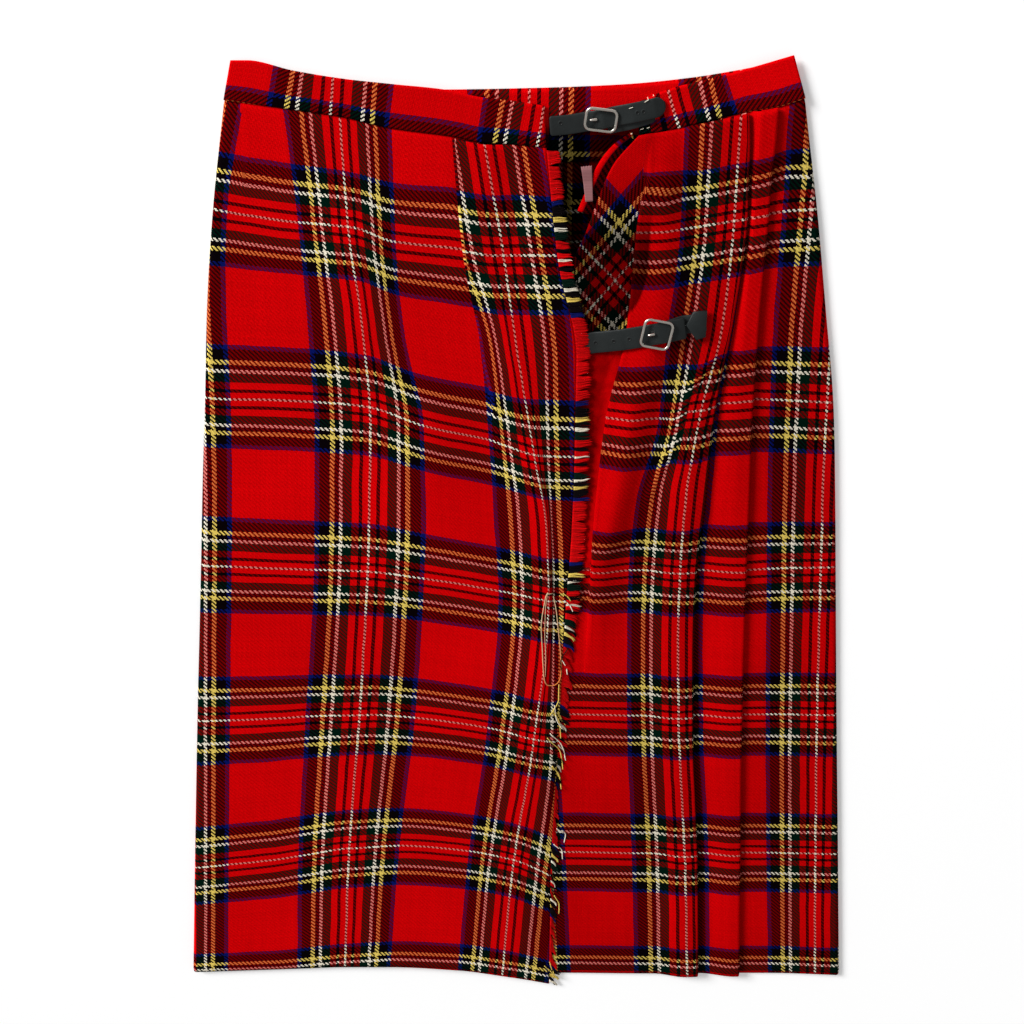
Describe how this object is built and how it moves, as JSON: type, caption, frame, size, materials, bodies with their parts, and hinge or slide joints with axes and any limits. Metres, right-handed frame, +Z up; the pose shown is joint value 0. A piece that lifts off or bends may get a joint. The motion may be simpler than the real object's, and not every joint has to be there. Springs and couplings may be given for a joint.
{
  "type": "kilt skirt",
  "caption": "Tartan wool wrap skirt laid flat and fastened, with a fringed over-apron, pressed hip pleats, a waistband and leather buckle straps.",
  "frame": {"origin": "middle of the skirt's outline, on the surface it lies on", "axes": "+X to the right as the front is seen from above, +Y from the hem to the waist, +Z up from the surface"},
  "size_m": [0.521, 0.732, 0.0167],
  "materials": {
    "tartan": "woven wool, matt",
    "fringe": "loose wool threads, matt",
    "leather": "grained, near black",
    "nickel": "aged plating, satin",
    "ribbon": "satin ribbon"
  },
  "bodies": {
    "root": {"back_panel": "tartan", "back_waistband": "tartan", "waist_facing": "tartan", "hip_panel": "tartan", "hip_waistband": "tartan", "inner_waistband": "tartan", "over_apron": "tartan", "apron_waistband": "tartan", "apron_fringe": "fringe", "waist_strap": "leather", "waist_chape": "leather", "waist_buckle": "nickel", "waist_prong": "nickel", "waist_ribbon": "ribbon", "hip_strap": "leather", "hip_chape": "leather", "hip_buckle": "nickel", "hip_prong": "nickel", "hip_tab": "leather"}
  },
  "joints": []
}
